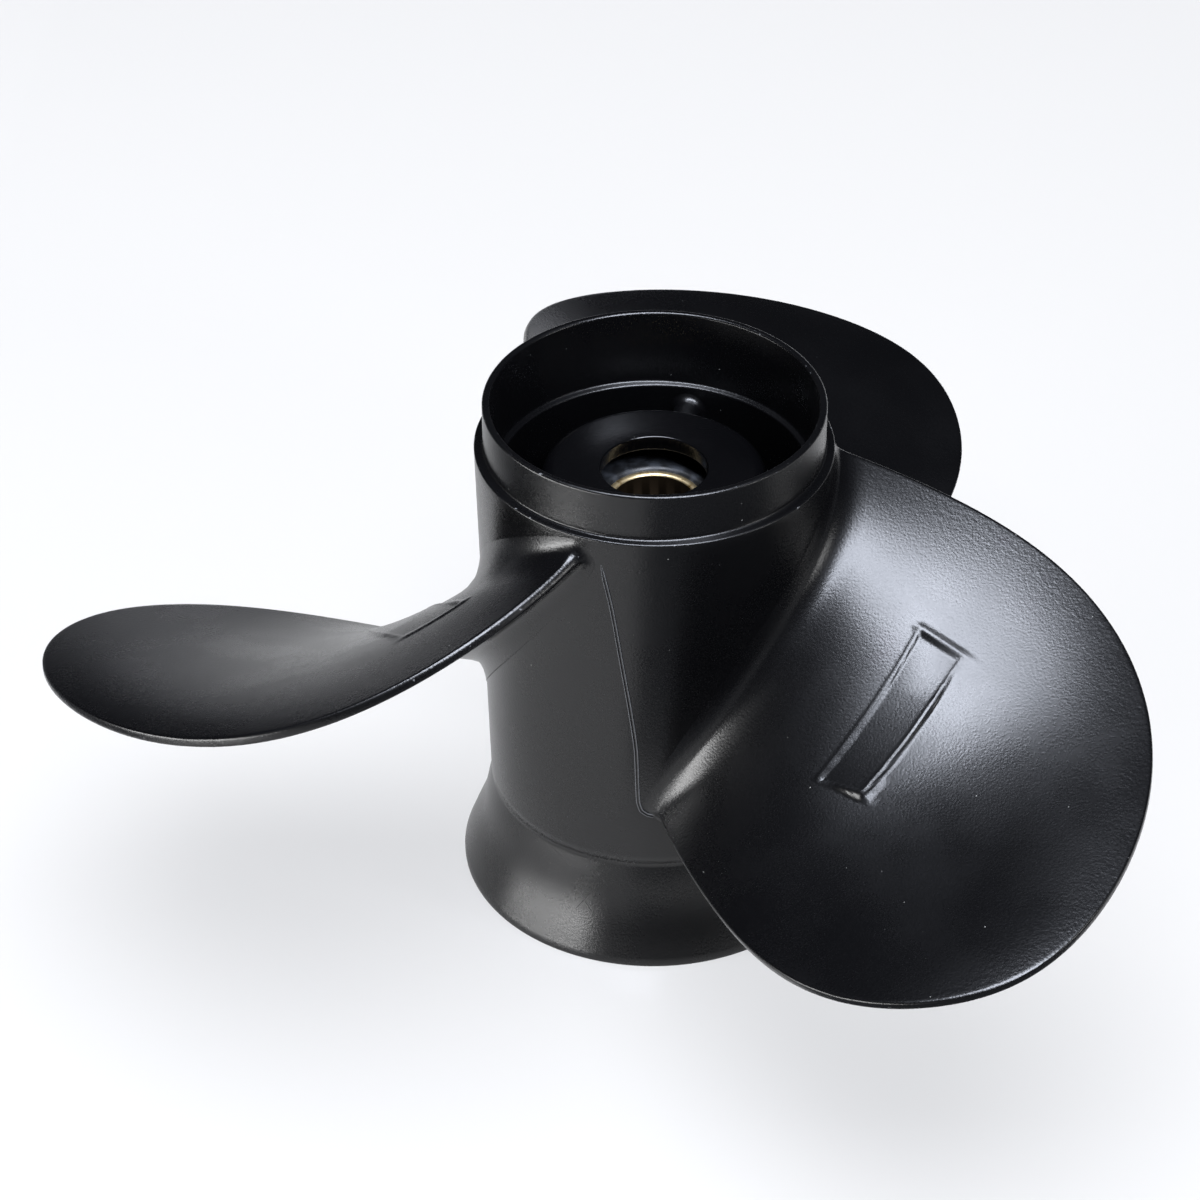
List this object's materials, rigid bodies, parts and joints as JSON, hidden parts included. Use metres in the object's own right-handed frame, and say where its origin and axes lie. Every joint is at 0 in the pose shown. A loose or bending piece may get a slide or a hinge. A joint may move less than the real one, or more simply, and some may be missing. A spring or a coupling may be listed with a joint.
{
  "type": "outboard motor propeller",
  "caption": "Three-blade right-handed outboard propeller: cast hub with exhaust passages, flared aft rim, rubber bush and splined brass sleeve.",
  "frame": {"origin": "on the shaft's axis, in the plane of the flared aft rim that the propeller stands on", "axes": "+Z along the shaft's axis, forward, from the aft rim to the front rim; the first blade's root middle is at azimuth -39.9 degrees from +X"},
  "size_m": [0.3317, 0.3393, 0.171],
  "materials": {
    "black_paint": "satin",
    "black_rubber": "matte",
    "brass": "satin"
  },
  "bodies": {
    "root": {"propeller_casting": "black_paint", "rubber_bush": "black_rubber", "spline_sleeve": "brass"}
  },
  "joints": []
}
